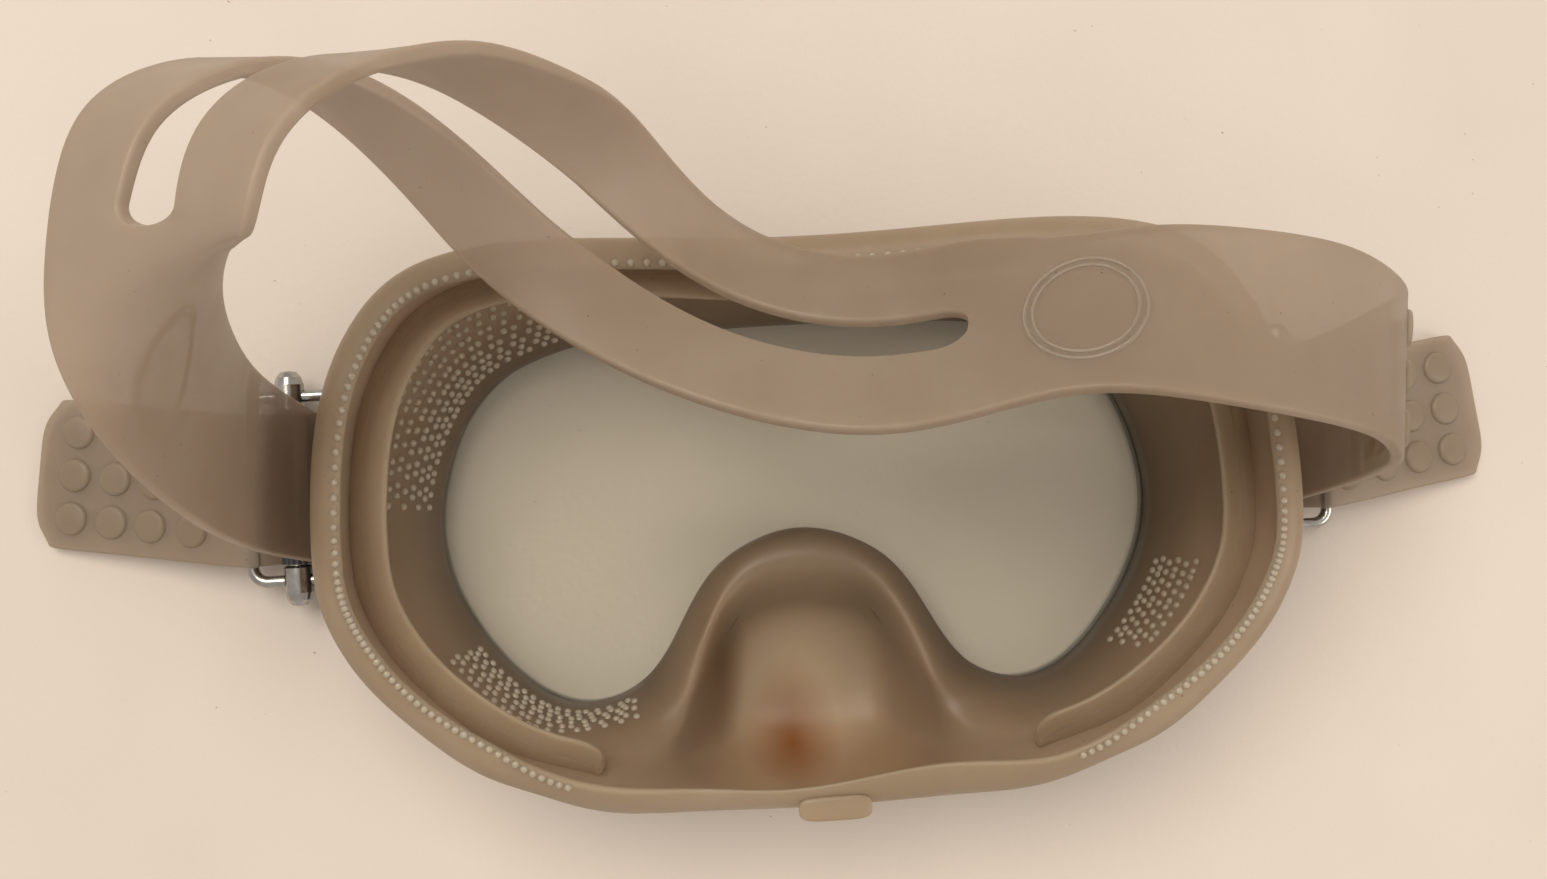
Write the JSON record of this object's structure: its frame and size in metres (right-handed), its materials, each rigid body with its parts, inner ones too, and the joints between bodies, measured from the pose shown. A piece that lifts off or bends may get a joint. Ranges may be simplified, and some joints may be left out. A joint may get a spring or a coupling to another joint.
{
  "type": "diving mask",
  "caption": "Single-lens diving mask with a nose pocket, a translucent silicone skirt, a split silicone head strap and a wire buckle with a roller on each side.",
  "frame": {"origin": "on the flat front of the frame, on the middle plane, at the height where the window is widest", "axes": "+X to the wearer's left temple, +Y to the forehead, +Z from the glass to the wearer's face; the mask lies on the front of its frame"},
  "size_m": [0.282, 0.1192, 0.1231],
  "materials": {
    "frame_black": "satin",
    "tempered_glass": "polished",
    "ring_black": "satin",
    "skirt_silicone": "translucent satin",
    "strap_silicone": "translucent satin",
    "bail_steel": "polished",
    "shaft_chrome": "polished",
    "sleeve_plastic": "satin"
  },
  "bodies": {
    "mask": {"front_frame": "frame_black", "lens": "tempered_glass", "retaining_ring": "ring_black", "skirt": "skirt_silicone", "head_strap": "strap_silicone"},
    "left_bail": {"left_bail": "bail_steel"},
    "left_shaft": {"left_roller_shaft": "shaft_chrome"},
    "left_sleeve": {"left_roller_sleeve": "sleeve_plastic"},
    "right_bail": {"right_bail": "bail_steel"},
    "right_shaft": {"right_roller_shaft": "shaft_chrome"},
    "right_sleeve": {"right_roller_sleeve": "sleeve_plastic"}
  },
  "joints": [
    {"name": "left_bail_hinge", "type": "hinge", "parent": "mask", "child": "left_bail", "pos_m": [-0.0845, 0.009, 0.008], "axis": [0, 1, 0], "range_deg": [-12, 60], "deforming": ["head_strap"]},
    {"name": "left_shaft_slide", "type": "slide", "parent": "left_bail", "child": "left_shaft", "axis": [-1, 0, 0], "range_m": [-0.0028, 0.0018], "deforming": ["head_strap"]},
    {"name": "left_sleeve_spin", "type": "hinge", "parent": "left_shaft", "child": "left_sleeve", "pos_m": [-0.0946, 0.009, 0.008], "axis": [0, 1, 0], "continuous": true},
    {"name": "right_bail_hinge", "type": "hinge", "parent": "mask", "child": "right_bail", "pos_m": [0.0845, 0.009, 0.008], "axis": [0, -1, 0], "range_deg": [-12, 60], "deforming": ["head_strap"]},
    {"name": "right_shaft_slide", "type": "slide", "parent": "right_bail", "child": "right_shaft", "axis": [1, 0, 0], "range_m": [-0.0028, 0.0018], "deforming": ["head_strap"]},
    {"name": "right_sleeve_spin", "type": "hinge", "parent": "right_shaft", "child": "right_sleeve", "pos_m": [0.0946, 0.009, 0.008], "axis": [0, -1, 0], "continuous": true}
  ]
}
